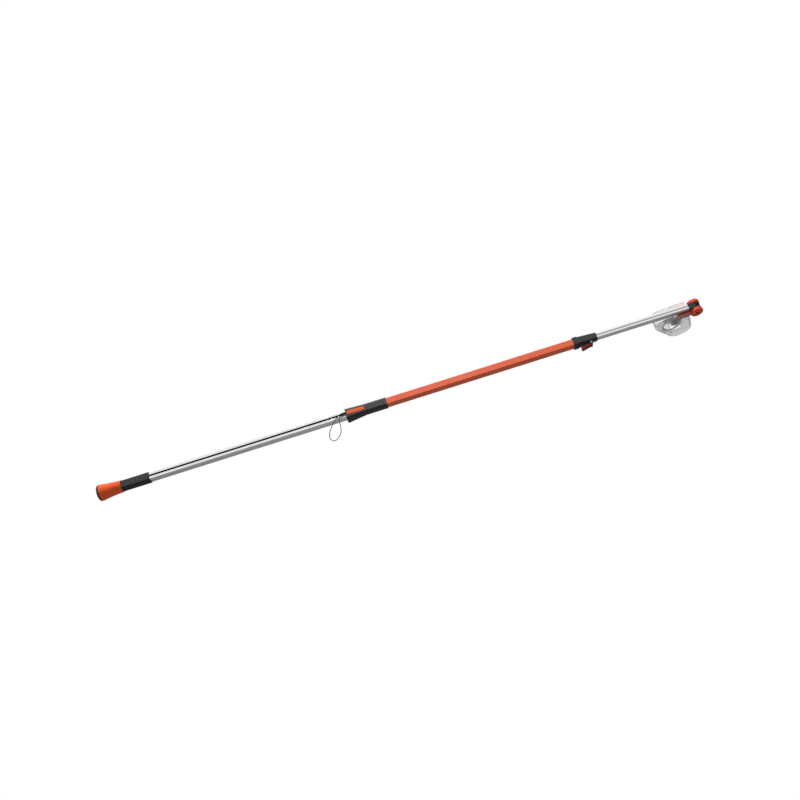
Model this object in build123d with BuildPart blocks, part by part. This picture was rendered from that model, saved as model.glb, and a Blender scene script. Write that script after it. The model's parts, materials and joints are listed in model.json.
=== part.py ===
"""Cord-driven telescoping pole pruner with a folding head, in millimetres.

The pole lies along +X, from its butt to its head. The slotted front face of the pole looks along -Y,
the cutting head is folded back on the +Y side, and the pivots of the head stand along Z. The origin is
on the pole's axis, at the middle of the lower grip.
"""
from build123d import *
from math import cos, isclose, pi, radians, sin, tan
import os

# Fits shared by all pieces
fit_gap = 0.05
run_gap = 0.05
slide_gap = 0.35
open_gap = 0.6

# Lengths along the pole, from the butt to the head
knob_length = 71.5
grip_length = 95.0
bare_lower = 661.0
slider_length = 137.0
bare_main = 628.0
clamp_length = 79.0
bare_upper = 308.0
tilt_reach = 25.5
tilt_out = 11.0

# Tubes
tube_size = 25.0
tube_radius = 3.0
tube_wall = 1.6
upper_size = 19.4
upper_radius = 3.2
upper_wall = 1.3
upper_insert = 477.0
upper_socket = 1.0
groove_width = 4.0
groove_depth = 0.45
slot_width = 6.4
slot_under_grip = 12.0

# Butt
rim_radius = 27.5
neck_radius = 20.0
knob_waist = 1.2
knob_round = 1.5
recess_radius = 16.0
recess_depth = 6.0
web_thickness = 6.0
cap_thickness = 8.0
cap_inset = 0.8
cap_wall = 3.0
plug_length = 40.0
knob_screw_radius = 2.4
knob_screw_length = 34.0
knob_screw_head = 4.5
knob_screw_head_height = 3.0
grip_size = 29.5
grip_radius = 5.0
grip_round = 1.0

# Joint of the two lower tubes
joint_cover = 2.0
sleeve_length = 140.0
sleeve_wall = 1.5
rivet_radius = 2.0
rivet_spread = 70.0
rivet_head_radius = 3.0
rivet_head_height = 0.8

# Slider
slider_size = 29.5
slider_radius = 5.0
flare_length = 64.0
flare_front = 2.9
flare_back = 6.1
flare_radius = 7.0
slider_round = 0.8
key_length = 24.0
key_from_end = 32.0
key_reach = 5.5
button_length = 57.0
button_width = 11.7
button_from_end = 5.0
button_proud = 0.6
button_thickness = 1.2
button_border = 0.4
floor_thickness = 1.1
spring_length = 30.0
spring_width = 6.0
spring_rise = 0.35
spring_thickness = 0.4
slider_screw_radius = 1.25
slider_screw_head = 2.0
slider_screw_head_height = 1.4
slider_screw_from_end = 8.0
slider_screw_reach = 8.0

# Pull loop, with its route chosen by hand from one eye of the slider back to the other
loop_diameter = 2.8
loop_eye_depth = 3.5
loop_route = [
    (711.5, -15.2, 3.5), (705.0, -15.2, 3.5), (696.0, -15.6, 2.8), (686.0, -16.4, -1.0), (676.5, -17.0, -9.0),
    (666.0, -17.2, -19.6), (657.0, -16.8, -30.0), (648.6, -16.0, -42.5), (641.8, -15.4, -56.0),
    (640.0, -15.0, -70.0), (646.5, -15.0, -82.5), (659.0, -15.0, -84.5),
    (671.0, -15.0, -75.5), (679.5, -15.2, -61.5), (683.5, -15.8, -46.0), (683.0, -16.6, -30.5),
    (683.0, -17.2, -18.0), (688.5, -16.6, -9.0), (697.0, -15.4, -5.0), (705.0, -15.2, -4.5), (711.5, -15.2, -4.5),
]

# Drive cord and its sheave
cord_diameter = 2.0
cord_offset = 7.0
cord_tail = 245.0
cord_wrap = 150.0
sheave_radius = 9.5
sheave_width = 6.0
sheave_side_gap = 0.4

# Tube clamp
collar_length = 16.0
collar_size = 32.5
collar_radius = 5.5
clamp_step = 2.8
clamp_end_size = 23.2
clamp_end_radius = 4.5
clamp_grip = 38.0
bush_length = 50.0
bush_flange = 3.0
bush_gap = 0.3
notch_length = 9.0
notch_width = 5.0
notch_depth = 1.2
clamp_screw_radius = 1.4
clamp_screw_head = 2.6
clamp_screw_head_height = 1.4
clamp_screw_spread = 12.0
lever_pivot_from_end = 24.0
lever_pivot_drop = 20.0
lever_hub_radius = 5.5
lever_cam_flat = 4.2
lever_length = 35.0
lever_width = 16.0
lever_tip_drop = 32.0
lever_tip_height = 11.0
lever_pin_radius = 1.8
lug_thickness = 3.0
lug_radius = 5.0
lug_gap = 0.3
shoe_length = 18.0
shoe_width = 12.0
shoe_gap = 0.15
shoe_height = 3.75

# Guide on the tail of the upper tube
tail_bush_length = 40.0
tail_bush_gap = 0.3
tail_lip = 3.0
tail_lip_wall = 2.0

# Tilt joint
knuckle_radius = 18.5
knuckle_height = 19.8
knuckle_plug = 30.0
knuckle_neck = 2.0
knuckle_groove = 1.0
knuckle_groove_width = 1.6
knuckle_groove_height = 6.9
fork_gap = 6.8
knuckle_pin_radius = 1.5
knuckle_pin_from_shoulder = 12.0
cap_radius = 20.5
cap_height = 12.3
cap_round = 4.0
cap_dish = 0.8
cap_dish_radius = 13.0
tilt_bolt_radius = 3.0
tilt_bolt_head = 5.5
tilt_bolt_head_height = 4.0
tilt_bore_depth = 6.0
socket_across = 4.0
socket_depth = 2.5
tail_thickness = 4.5
tail_root_radius = 11.0
tail_tip_radius = 12.0
tail_tip_back = 52.0
tail_tip_out = 20.0

# Cutting head, measured back from the tilt axis and out from the pole's axis
pivot_back = 65.0
pivot_out = 53.0
frame_root_back = 40.0
frame_root_out = 22.0
frame_root_radius = 9.0
frame_pivot_radius = 15.0
frame_plate = 5.0
frame_rivet_radius = 2.5
frame_rivet_spread = 18.0
blade_thickness = 2.9
blade_gap = 0.1
blade_bevel = 1.5
blade_bevel_width = 3.0
hook_thickness = 3.0
hook_radius = 33.0
hook_centre = (-9.0, 15.0)
gullet_radius = 23.5
gullet_centre = (-11.0, 15.0)
mouth_left = (-60.0, 2.0)
mouth_right = (-12.0, -15.0)
mouth_height = 40.0
blade_hub_radius = 10.0
blade_heel = (-5.0, 9.0)
blade_edge_middle = (-25.0, -2.0)
blade_tip = (-44.5, -17.0)
blade_back_middle = (-25.0, -26.0)
blade_back_root = (4.0, -9.0)
blade_tail_length = 22.0
blade_tail_radius = 5.0
blade_tail_angle = -32.0
cord_eye_radius = 1.5
blade_bolt_radius = 4.0
blade_bolt_head = 6.5
blade_bolt_head_height = 3.0
blade_spring_radius = 7.5
blade_spring_wire = 1.4
blade_spring_height = 3.4
blade_spring_room = 0.5

# Clear guard
guard_wall = 1.2
guard_radius = 40.0
guard_centre = (-48.0, 94.0)
guard_shoulder_radius = 31.0
guard_shoulder = (-108.0, 30.0)
guard_top_left = (-129.0, 4.0)
guard_top_right = (-31.0, -4.0)
guard_corner = 3.0
guard_half_top = 22.5
guard_top = -12.0
guard_half_bottom = 12.0
guard_left_open = 15.0
guard_right_open = 45.0
guard_lean = -10.0
guard_lift = 40.0
guard_post = (-10.0, 43.3)
guard_post_radius = 3.5
guard_seat_gap = 0.3
window_corner = 3.0
window_places = [(-116.0, 22.0), (-82.0, 40.5), (-52.0, 65.0), (-48.0, 82.0), (-70.0, 82.0), (-104.0, 49.0)]

# Places along the pole
rim_x = -(knob_length + grip_length / 2)
grip_start = rim_x + knob_length
grip_end = grip_start + grip_length
slider_start = grip_end + bare_lower
slider_end = slider_start + slider_length
clamp_start = slider_end + bare_main
clamp_end = clamp_start + clamp_length
shoulder_x = clamp_end + bare_upper
tilt_x = shoulder_x + tilt_reach
tube_start = rim_x + recess_depth + web_thickness
joint_x = slider_end - joint_cover
main_end = clamp_start + clamp_grip
upper_start = clamp_end - upper_insert
upper_end = shoulder_x + upper_socket
key_x = slider_start + key_from_end
pivot_x = tilt_x - pivot_back
pivot_y = pivot_out
tilt_axis = (tilt_x, tilt_out)
cord_y = tilt_out - cord_offset

# Sizes that follow from the tubes
tube_bore = tube_size - 2 * tube_wall
tube_bore_radius = tube_radius - tube_wall
upper_bore = upper_size - 2 * upper_wall
upper_bore_radius = upper_radius - upper_wall
socket_size = tube_size + 2 * fit_gap
socket_radius = tube_radius + fit_gap
sleeve_size = tube_bore - 2 * fit_gap
sleeve_bore = sleeve_size - 2 * sleeve_wall

os.makedirs("parts", exist_ok=True)


def finish(part, name):
    """Name a finished piece and write it out."""
    part.label = name
    export_step(part, f"parts/{name}.step")


def square_bar(start, length, size, radius, mode=Mode.ADD):
    """Rounded-square bar along the pole."""
    with BuildSketch(Plane.YZ.offset(start)) as section:
        RectangleRounded(size, size, radius)
    extrude(section.sketch, amount=length, mode=mode)


def round_bar(plane, centre, radius, length, mode=Mode.ADD):
    """Round bar that stands on a plane."""
    with BuildSketch(plane) as section:
        with Locations(centre):
            Circle(radius)
    extrude(section.sketch, amount=length, mode=mode)


def block(low, high, mode=Mode.ADD):
    """Block between two corners."""
    middle = [(a + b) / 2 for a, b in zip(low, high)]
    with Locations(tuple(middle)):
        Box(*[b - a for a, b in zip(low, high)], mode=mode)


def at_pivot(point):
    """Place a point that is measured from the blade's pivot."""
    return (pivot_x + point[0], pivot_y + point[1])


def at_tilt(point):
    """Place a point whose x is measured from the tilt axis."""
    return (tilt_x + point[0], point[1])


def front_plane(distance):
    """Plane in front of the pole, with its normal along -Y."""
    return Plane.XZ.offset(distance)


# Butt end

with BuildPart() as end_knob:
    with BuildSketch(Plane.XY) as knob_profile:
        with BuildLine():
            outline = ThreePointArc(
                (rim_x, rim_radius),
                (rim_x + knob_length / 2, (rim_radius + neck_radius) / 2 - knob_waist),
                (grip_start, neck_radius),
            )
            Polyline(outline @ 1, (grip_start, 0), (rim_x, 0), outline @ 0)
        make_face()
    revolve(axis=Axis.X)
    fillet(end_knob.edges().group_by(Axis.X)[0], knob_round)
    square_bar(tube_start, grip_start - tube_start, socket_size, socket_radius, Mode.SUBTRACT)
    round_bar(Plane.YZ.offset(rim_x), (0, 0), recess_radius, recess_depth, Mode.SUBTRACT)
    round_bar(Plane.YZ.offset(rim_x), (0, 0), knob_screw_radius + fit_gap, tube_start - rim_x, Mode.SUBTRACT)
finish(end_knob.part, "end_knob")

with BuildPart() as end_cap:
    cap_outer = rim_radius - cap_inset
    round_bar(Plane.YZ.offset(rim_x - cap_thickness), (0, 0), cap_outer, cap_thickness)
    fillet(end_cap.edges().group_by(Axis.X)[0], cap_thickness * 0.7)
    with BuildSketch(Plane.YZ.offset(rim_x)):
        Circle(recess_radius - fit_gap)
        Circle(recess_radius - cap_wall, mode=Mode.SUBTRACT)
    extrude(amount=recess_depth - slide_gap)
finish(end_cap.part, "end_cap")

with BuildPart() as tube_plug:
    square_bar(tube_start, plug_length, tube_bore - 2 * fit_gap, tube_bore_radius)
    round_bar(Plane.YZ.offset(tube_start), (0, 0), knob_screw_radius + fit_gap, plug_length, Mode.SUBTRACT)
finish(tube_plug.part, "tube_plug")

with BuildPart() as knob_screw:
    web_x = rim_x + recess_depth
    head_face = Plane.YZ.offset(web_x - knob_screw_head_height)
    round_bar(head_face, (0, 0), knob_screw_head, knob_screw_head_height)
    fillet(knob_screw.edges().group_by(Axis.X)[0], knob_screw_head_height / 3)
    round_bar(Plane.YZ.offset(web_x), (0, 0), knob_screw_radius, knob_screw_length)
    with BuildSketch(head_face):
        RegularPolygon(knob_screw_radius, 6)
    extrude(amount=knob_screw_head_height / 2, mode=Mode.SUBTRACT)
finish(knob_screw.part, "knob_screw")

with BuildPart() as lower_grip:
    square_bar(grip_start, grip_length, grip_size, grip_radius)
    fillet(lower_grip.edges().group_by(Axis.X)[-1], grip_round)
    square_bar(grip_start, grip_length, socket_size, socket_radius, Mode.SUBTRACT)
finish(lower_grip.part, "lower_grip")


# Lower and main tubes, joined end to end by an inner sleeve

rivet_places = [(joint_x + side * rivet_spread / 2, 0) for side in (-1, 1)]


def rivet_holes(radius):
    """Rivet holes through the top and bottom walls of a tube."""
    with BuildSketch(Plane.XY.offset(-tube_size)) as holes:
        with Locations(*rivet_places):
            Circle(radius)
    extrude(holes.sketch, amount=2 * tube_size, mode=Mode.SUBTRACT)


with BuildPart() as lower_tube:
    square_bar(tube_start, joint_x - tube_start, tube_size, tube_radius)
    square_bar(tube_start, joint_x - tube_start, tube_bore, tube_bore_radius, Mode.SUBTRACT)
    slot_start = grip_end - slot_under_grip
    slot_end = key_x + key_length / 2 + slot_width
    with BuildSketch(front_plane(tube_size / 2)):
        with Locations(((slot_start + slot_end) / 2, 0)):
            SlotOverall(slot_end - slot_start, slot_width)
    extrude(amount=-2 * tube_wall, mode=Mode.SUBTRACT)
    rivet_holes(rivet_radius + fit_gap)
finish(lower_tube.part, "lower_tube")

with BuildPart() as main_tube:
    square_bar(joint_x, main_end - joint_x, tube_size, tube_radius)
    square_bar(joint_x, main_end - joint_x, tube_bore, tube_bore_radius, Mode.SUBTRACT)
    rivet_holes(rivet_radius + fit_gap)
    screw_places = [(clamp_start + collar_length / 2, side * clamp_screw_spread / 2) for side in (-1, 1)]
    with BuildSketch(Plane.XZ):
        with Locations(*screw_places):
            Circle(clamp_screw_radius + fit_gap)
    extrude(amount=-tube_size, mode=Mode.SUBTRACT)
finish(main_tube.part, "main_tube")

with BuildPart() as joining_sleeve:
    sleeve_start = joint_x - sleeve_length / 2
    square_bar(sleeve_start, sleeve_length, sleeve_size, tube_bore_radius + slide_gap)
    square_bar(sleeve_start, sleeve_length, sleeve_bore, tube_bore_radius, Mode.SUBTRACT)
    rivet_holes(rivet_radius + fit_gap)
finish(joining_sleeve.part, "joining_sleeve")

with BuildPart() as joint_rivets:
    for side in (-1, 1):
        seat = side * sleeve_bore / 2
        for place in rivet_places:
            round_bar(Plane.XY.offset(seat), place, rivet_radius, side * (tube_size - sleeve_bore) / 2)
            round_bar(Plane.XY.offset(seat), place, rivet_head_radius, -side * rivet_head_height)
finish(joint_rivets.part, "joint_rivets")


# Slider: two shells round the tube, with a flared lower end

slider_bore = tube_size + 2 * slide_gap
slider_bore_radius = tube_radius + slide_gap
flare_size = slider_size + flare_front + flare_back
flare_shift = (flare_back - flare_front) / 2
floor_y = slider_bore / 2 + floor_thickness
front_low = slider_size / 2 + flare_front
front_high = slider_size / 2


def front_of_flare(x):
    """Distance of the flare's front face from the pole's axis."""
    share = (x - slider_start) / flare_length
    return front_low + (front_high - front_low) * share


button_start = slider_start + button_from_end
button_end = button_start + button_length
screw_x = slider_start + slider_screw_from_end
back_at_screw = slider_size / 2 + flare_back * (1 - slider_screw_from_end / flare_length)
screw_heights = [(slider_bore / 2 + front_of_flare(screw_x)) / 2, -(slider_bore / 2 + back_at_screw) / 2]
screw_back = back_at_screw - slider_screw_head_height


def slider_body(shell):
    """Whole slider body, before it is split into its shells."""
    with BuildSketch(Plane.YZ.offset(slider_start)) as wide_end:
        with Locations((flare_shift, -flare_shift)):
            RectangleRounded(flare_size, flare_size, flare_radius)
    with BuildSketch(Plane.YZ.offset(slider_start + flare_length)) as narrow_end:
        RectangleRounded(slider_size, slider_size, slider_radius)
    loft(sections=[wide_end.sketch.face(), narrow_end.sketch.face()])
    square_bar(slider_start + flare_length, slider_length - flare_length, slider_size, slider_radius)
    ends = shell.edges().group_by(Axis.X)
    fillet(ends[0] + ends[-1], slider_round)
    square_bar(slider_start, slider_length, slider_bore, slider_bore_radius, Mode.SUBTRACT)


def slider_screw_holes():
    """Screw holes that pin the shells together at the flare."""
    for height in screw_heights:
        bottom = front_plane(slider_screw_reach)
        round_bar(bottom, (screw_x, height), slider_screw_radius + fit_gap, -slider_size * 2, Mode.SUBTRACT)
        seat = front_plane(-screw_back)
        round_bar(seat, (screw_x, height), slider_screw_head + fit_gap, -flare_size, Mode.SUBTRACT)


with BuildPart() as slider_front:
    slider_body(slider_front)
    split(bisect_by=Plane.XZ, keep=Keep.TOP)
    with BuildSketch(front_plane(floor_y)):
        with Locations(((button_start + button_end) / 2, 0)):
            Rectangle(button_length + 2 * button_border, button_width + 2 * button_border)
    extrude(amount=flare_size, mode=Mode.SUBTRACT)
    with BuildSketch(front_plane(floor_y)):
        with Locations((key_x, 0)):
            Rectangle(key_length + 2 * fit_gap, slot_width - 2 * bush_gap + 2 * fit_gap)
    extrude(amount=-2 * floor_thickness, mode=Mode.SUBTRACT)
    for eye in (loop_route[0], loop_route[-1]):
        eye_radius = loop_diameter / 2 + slide_gap
        round_bar(Plane.YZ.offset(slider_start), (eye[1], eye[2]), eye_radius, loop_eye_depth, Mode.SUBTRACT)
    slider_screw_holes()
finish(slider_front.part, "slider_front")

with BuildPart() as slider_rear:
    slider_body(slider_rear)
    split(bisect_by=Plane.XZ, keep=Keep.BOTTOM)
    slider_screw_holes()
finish(slider_rear.part, "slider_rear")

with BuildPart() as slider_screws:
    for height in screw_heights:
        shank = screw_back + slider_screw_reach
        round_bar(front_plane(-screw_back), (screw_x, height), slider_screw_radius, shank)
        round_bar(front_plane(-screw_back), (screw_x, height), slider_screw_head, -slider_screw_head_height)
finish(slider_screws.part, "slider_screws")

with BuildPart() as slider_key:
    with BuildSketch(front_plane(floor_y)):
        with Locations((key_x, 0)):
            Rectangle(key_length, slot_width - 2 * bush_gap)
    extrude(amount=-key_reach)
finish(slider_key.part, "slider_key")

with BuildPart() as lock_button:
    hinge_y = front_of_flare(button_end) + button_proud
    with BuildSketch(Plane.XY.offset(-button_width / 2)):
        with BuildLine():
            Polyline(
                (button_start, -(front_of_flare(button_start) + button_proud)),
                (button_end, -hinge_y),
                (button_end, -(hinge_y - button_thickness)),
                (button_start, -(front_of_flare(button_start) + button_proud - button_thickness)),
                close=True,
            )
        make_face()
    extrude(amount=button_width)
    fillet(lock_button.edges().filter_by(Axis.Z), button_border)
finish(lock_button.part, "lock_button")

with BuildPart() as button_spring:
    spring_low = button_start + button_from_end
    spring_high = spring_low + spring_length
    with BuildSketch(Plane.XY.offset(-spring_width / 2)):
        with BuildLine():
            lower = ThreePointArc(
                (spring_low, -floor_y),
                ((spring_low + spring_high) / 2, -floor_y - spring_rise),
                (spring_high, -floor_y),
            )
            upper = ThreePointArc(
                (spring_low, -floor_y - spring_thickness),
                ((spring_low + spring_high) / 2, -floor_y - spring_rise - spring_thickness),
                (spring_high, -floor_y - spring_thickness),
            )
            Line(lower @ 0, upper @ 0)
            Line(lower @ 1, upper @ 1)
        make_face()
    extrude(amount=spring_width)
finish(button_spring.part, "button_spring")


# Pull loop


def turn_radii(points):
    """Largest arc at each corner of a route that its two runs leave room for."""
    radii = []
    for before, corner, after in zip(points, points[1:], points[2:]):
        run_in = Vector(*corner) - Vector(*before)
        run_out = Vector(*after) - Vector(*corner)
        turn = radians(run_in.get_angle(run_out))
        radii.append(0.45 * min(run_in.length, run_out.length) / tan(turn / 2))
    return radii


loop_radii = turn_radii(loop_route)
with BuildPart() as pull_loop:
    with BuildLine() as loop_line:
        FilletPolyline(*loop_route, radius=loop_radii)
    with BuildSketch(Plane(origin=loop_line.line @ 0, z_dir=loop_line.line % 0)):
        Circle(loop_diameter / 2)
    sweep(path=loop_line.wire())
finish(pull_loop.part, "pull_loop")
loop_length = loop_line.wire().length
loop_volume = pi * loop_diameter**2 / 4 * loop_length
print("loop length", round(loop_length, 1), "smallest arc", round(min(loop_radii), 1))
print("loop volume share", round(pull_loop.part.volume / loop_volume, 4))


# Tube clamp

clamp_body_size = collar_size - clamp_step
pivot_clamp_x = clamp_end - lever_pivot_from_end
lug_inner = lever_width / 2 + lug_gap
shoe_top = upper_size / 2 + shoe_gap

with BuildPart() as clamp_body:
    square_bar(clamp_start, collar_length, collar_size, collar_radius)
    with BuildSketch(Plane.YZ.offset(clamp_start + collar_length)) as body_root:
        RectangleRounded(clamp_body_size, clamp_body_size, collar_radius)
    with BuildSketch(Plane.YZ.offset(clamp_end)) as body_end:
        RectangleRounded(clamp_end_size, clamp_end_size, clamp_end_radius)
    loft(sections=[body_root.sketch.face(), body_end.sketch.face()])
    for side in (-1, 1):
        with BuildSketch(Plane.XZ.offset(side * lug_inner)):
            with Locations((pivot_clamp_x, -lever_pivot_drop)):
                Circle(lug_radius)
            with Locations((pivot_clamp_x, -(lever_pivot_drop + upper_size / 2) / 2)):
                Rectangle(2 * lug_radius, lever_pivot_drop - upper_size / 2)
        extrude(amount=side * lug_thickness)
    square_bar(clamp_start, clamp_grip + bush_flange, socket_size, socket_radius, Mode.SUBTRACT)
    neck_bore = upper_size + 2 * slide_gap
    square_bar(clamp_start, clamp_length, neck_bore, upper_radius + slide_gap, Mode.SUBTRACT)
    block(
        (pivot_clamp_x - shoe_length / 2 - bush_gap, -shoe_width / 2 - bush_gap, -clamp_body_size),
        (pivot_clamp_x + shoe_length / 2 + bush_gap, shoe_width / 2 + bush_gap, 0),
        Mode.SUBTRACT,
    )
    round_bar(
        Plane.XZ.offset(-tube_size),
        (pivot_clamp_x, -lever_pivot_drop),
        lever_pin_radius + fit_gap,
        2 * tube_size,
        Mode.SUBTRACT,
    )
    with BuildSketch(front_plane(collar_size / 2)):
        with GridLocations(0, collar_size / 2, 1, 2):
            with Locations((clamp_start + collar_length / 2, 0)):
                Rectangle(notch_length, notch_width)
    extrude(amount=-notch_depth, mode=Mode.SUBTRACT)
    for place in screw_places:
        round_bar(Plane.XZ, place, clamp_screw_radius + fit_gap, -collar_size, Mode.SUBTRACT)
        seat = collar_size / 2 - clamp_screw_head_height
        round_bar(Plane.XZ.offset(-seat), place, clamp_screw_head + fit_gap, -collar_size, Mode.SUBTRACT)
finish(clamp_body.part, "clamp_body")

with BuildPart() as clamp_screws:
    seat = collar_size / 2 - clamp_screw_head_height
    for place in screw_places:
        round_bar(Plane.XZ.offset(-seat), place, clamp_screw_radius, seat - tube_bore / 2 - fit_gap)
        round_bar(Plane.XZ.offset(-seat), place, clamp_screw_head, -clamp_screw_head_height)
finish(clamp_screws.part, "clamp_screws")

with BuildPart() as guide_bush:
    square_bar(main_end - bush_length, bush_length, tube_bore - 2 * fit_gap, tube_bore_radius + slide_gap)
    square_bar(main_end, bush_flange, tube_size, tube_radius)
    bush_bore = upper_size + 2 * bush_gap
    bush_start = main_end - bush_length
    square_bar(bush_start, bush_length + bush_flange, bush_bore, upper_radius, Mode.SUBTRACT)
finish(guide_bush.part, "guide_bush")

with BuildPart() as lever_pin:
    pin_half = lug_inner + lug_thickness
    round_bar(Plane.XZ.offset(-pin_half), (pivot_clamp_x, -lever_pivot_drop), lever_pin_radius, 2 * pin_half)
finish(lever_pin.part, "lever_pin")

with BuildPart() as clamp_lever:
    with BuildSketch(Plane.XZ.offset(-lever_width / 2)):
        with BuildLine():
            hub_top = (pivot_clamp_x - lever_hub_radius, -lever_pivot_drop)
            hub_low = (pivot_clamp_x, -lever_pivot_drop - lever_hub_radius)
            tip_x = pivot_clamp_x - lever_length
            tip_low = -lever_tip_drop
            tip_high = lever_tip_height - lever_tip_drop
            Polyline(
                hub_top,
                (tip_x, tip_high),
                (tip_x, tip_low),
                (tip_x + lever_hub_radius, tip_low),
                hub_low,
                (pivot_clamp_x, -lever_pivot_drop),
                close=True,
            )
        make_face()
        with Locations((pivot_clamp_x, -lever_pivot_drop)):
            Circle(lever_hub_radius)
            Circle(lever_pin_radius + run_gap, mode=Mode.SUBTRACT)
        with Locations((pivot_clamp_x + lever_cam_flat + lever_hub_radius, -lever_pivot_drop)):
            Rectangle(2 * lever_hub_radius, 4 * lever_hub_radius, mode=Mode.SUBTRACT)
    extrude(amount=lever_width)
    tip_edges = clamp_lever.edges().filter_by(Axis.Y).group_by(Axis.X)[0]
    fillet(tip_edges, grip_round)
finish(clamp_lever.part, "clamp_lever")

with BuildPart() as clamp_shoe:
    block(
        (pivot_clamp_x - shoe_length / 2, -shoe_width / 2, -shoe_top - shoe_height),
        (pivot_clamp_x + shoe_length / 2, shoe_width / 2, -shoe_top),
    )
finish(clamp_shoe.part, "clamp_shoe")


# Upper tube

pin_x = shoulder_x - knuckle_pin_from_shoulder


def pin_hole():
    """Hole for the pin that locks the knuckle's plug in the upper tube."""
    bottom = Plane.XY.offset(-upper_size)
    round_bar(bottom, (pin_x, 0), knuckle_pin_radius + fit_gap, 2 * upper_size, Mode.SUBTRACT)


with BuildPart() as upper_tube:
    square_bar(upper_start, upper_end - upper_start, upper_size, upper_radius)
    square_bar(upper_start, upper_end - upper_start, upper_bore, upper_bore_radius, Mode.SUBTRACT)
    block(
        (upper_start, -upper_size / 2, -groove_width / 2),
        (upper_end, -upper_size / 2 + groove_depth, groove_width / 2),
        Mode.SUBTRACT,
    )
    pin_hole()
finish(upper_tube.part, "upper_tube")

with BuildPart() as tail_bush:
    tail_size = tube_bore - 2 * tail_bush_gap
    tail_bore = tail_size - 2 * tail_lip_wall
    tail_start = upper_start - tail_lip
    square_bar(tail_start, tail_bush_length + tail_lip, tail_size, tube_bore_radius + slide_gap)
    square_bar(upper_start, tail_bush_length, upper_size + 2 * fit_gap, upper_radius + fit_gap, Mode.SUBTRACT)
    square_bar(tail_start, tail_lip, tail_bore, upper_bore_radius, Mode.SUBTRACT)
finish(tail_bush.part, "tail_bush")


# Tilt joint at the head

half_drum = knuckle_height / 2
slot_root = tilt_x - sheave_radius - 2 * sheave_side_gap

with BuildPart() as head_knuckle:
    plug_size = upper_bore - 2 * fit_gap
    square_bar(shoulder_x - knuckle_plug, knuckle_plug + upper_socket, plug_size, upper_bore_radius)
    with BuildSketch(Plane.XY.offset(-half_drum)):
        with Locations((upper_end + knuckle_neck / 2, 0)):
            Rectangle(knuckle_neck, upper_size)
        with Locations(tilt_axis):
            Circle(knuckle_radius)
        make_hull()
    extrude(amount=knuckle_height)
    for height in (-knuckle_groove_height, knuckle_groove_height):
        with BuildSketch(Plane.XY.offset(height - knuckle_groove_width / 2)):
            with Locations(tilt_axis):
                Circle(knuckle_radius + knuckle_groove)
                Circle(knuckle_radius - knuckle_groove, mode=Mode.SUBTRACT)
        extrude(amount=knuckle_groove_width, mode=Mode.SUBTRACT)
    block(
        (slot_root, tilt_out - knuckle_radius, -fork_gap / 2),
        (tilt_x + knuckle_radius, tilt_out + knuckle_radius, fork_gap / 2),
        Mode.SUBTRACT,
    )
    block(
        (shoulder_x - knuckle_plug, cord_y - cord_diameter, -cord_diameter),
        (slot_root, cord_y + cord_diameter, cord_diameter),
        Mode.SUBTRACT,
    )
    round_bar(
        Plane.XY.offset(-half_drum), tilt_axis, tilt_bolt_radius + run_gap, knuckle_height, Mode.SUBTRACT
    )
    pin_hole()
finish(head_knuckle.part, "head_knuckle")

with BuildPart() as knuckle_pin:
    round_bar(Plane.XY.offset(-upper_size / 2), (pin_x, 0), knuckle_pin_radius, upper_size)
finish(knuckle_pin.part, "knuckle_pin")

with BuildPart() as drive_cord:
    cord_start = upper_start - cord_tail
    wrap_angle = radians(cord_wrap - 90)
    wrap_middle = radians(cord_wrap / 2 - 90)
    with BuildLine() as cord_line:
        run = Line((cord_start, cord_y, 0), (tilt_x, cord_y, 0))
        ThreePointArc(
            run @ 1,
            (tilt_x + cord_offset * cos(wrap_middle), tilt_out + cord_offset * sin(wrap_middle), 0),
            (tilt_x + cord_offset * cos(wrap_angle), tilt_out + cord_offset * sin(wrap_angle), 0),
        )
    with BuildSketch(Plane.YZ.offset(cord_start)):
        with Locations((cord_y, 0)):
            Circle(cord_diameter / 2)
    sweep(path=cord_line.wire())
finish(drive_cord.part, "drive_cord")

with BuildPart() as sheave:
    groove_half = cord_diameter / 2 + bush_gap
    groove_floor = cord_offset - cord_diameter / 2 - bush_gap
    with BuildSketch(Plane.XZ.offset(-tilt_out)):
        with BuildLine():
            Polyline(
                (tilt_x + tilt_bolt_radius + run_gap, -sheave_width / 2),
                (tilt_x + sheave_radius, -sheave_width / 2),
                (tilt_x + sheave_radius, -groove_half),
                (tilt_x + groove_floor, -groove_half),
                (tilt_x + groove_floor, groove_half),
                (tilt_x + sheave_radius, groove_half),
                (tilt_x + sheave_radius, sheave_width / 2),
                (tilt_x + tilt_bolt_radius + run_gap, sheave_width / 2),
                close=True,
            )
        make_face()
    revolve(axis=Axis((tilt_x, tilt_out, 0), (0, 0, 1)))
finish(sheave.part, "sheave")

cap_inner = half_drum + open_gap
cap_outer_z = cap_inner + cap_height
bolt_seat = cap_outer_z - tilt_bore_depth
tail_outer = cap_inner + tail_thickness
rivet_back = frame_root_back + frame_rivet_spread
frame_rivet_places = [
    at_tilt((-frame_root_back, frame_root_out)),
    at_tilt((-rivet_back, frame_root_out)),
]


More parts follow.
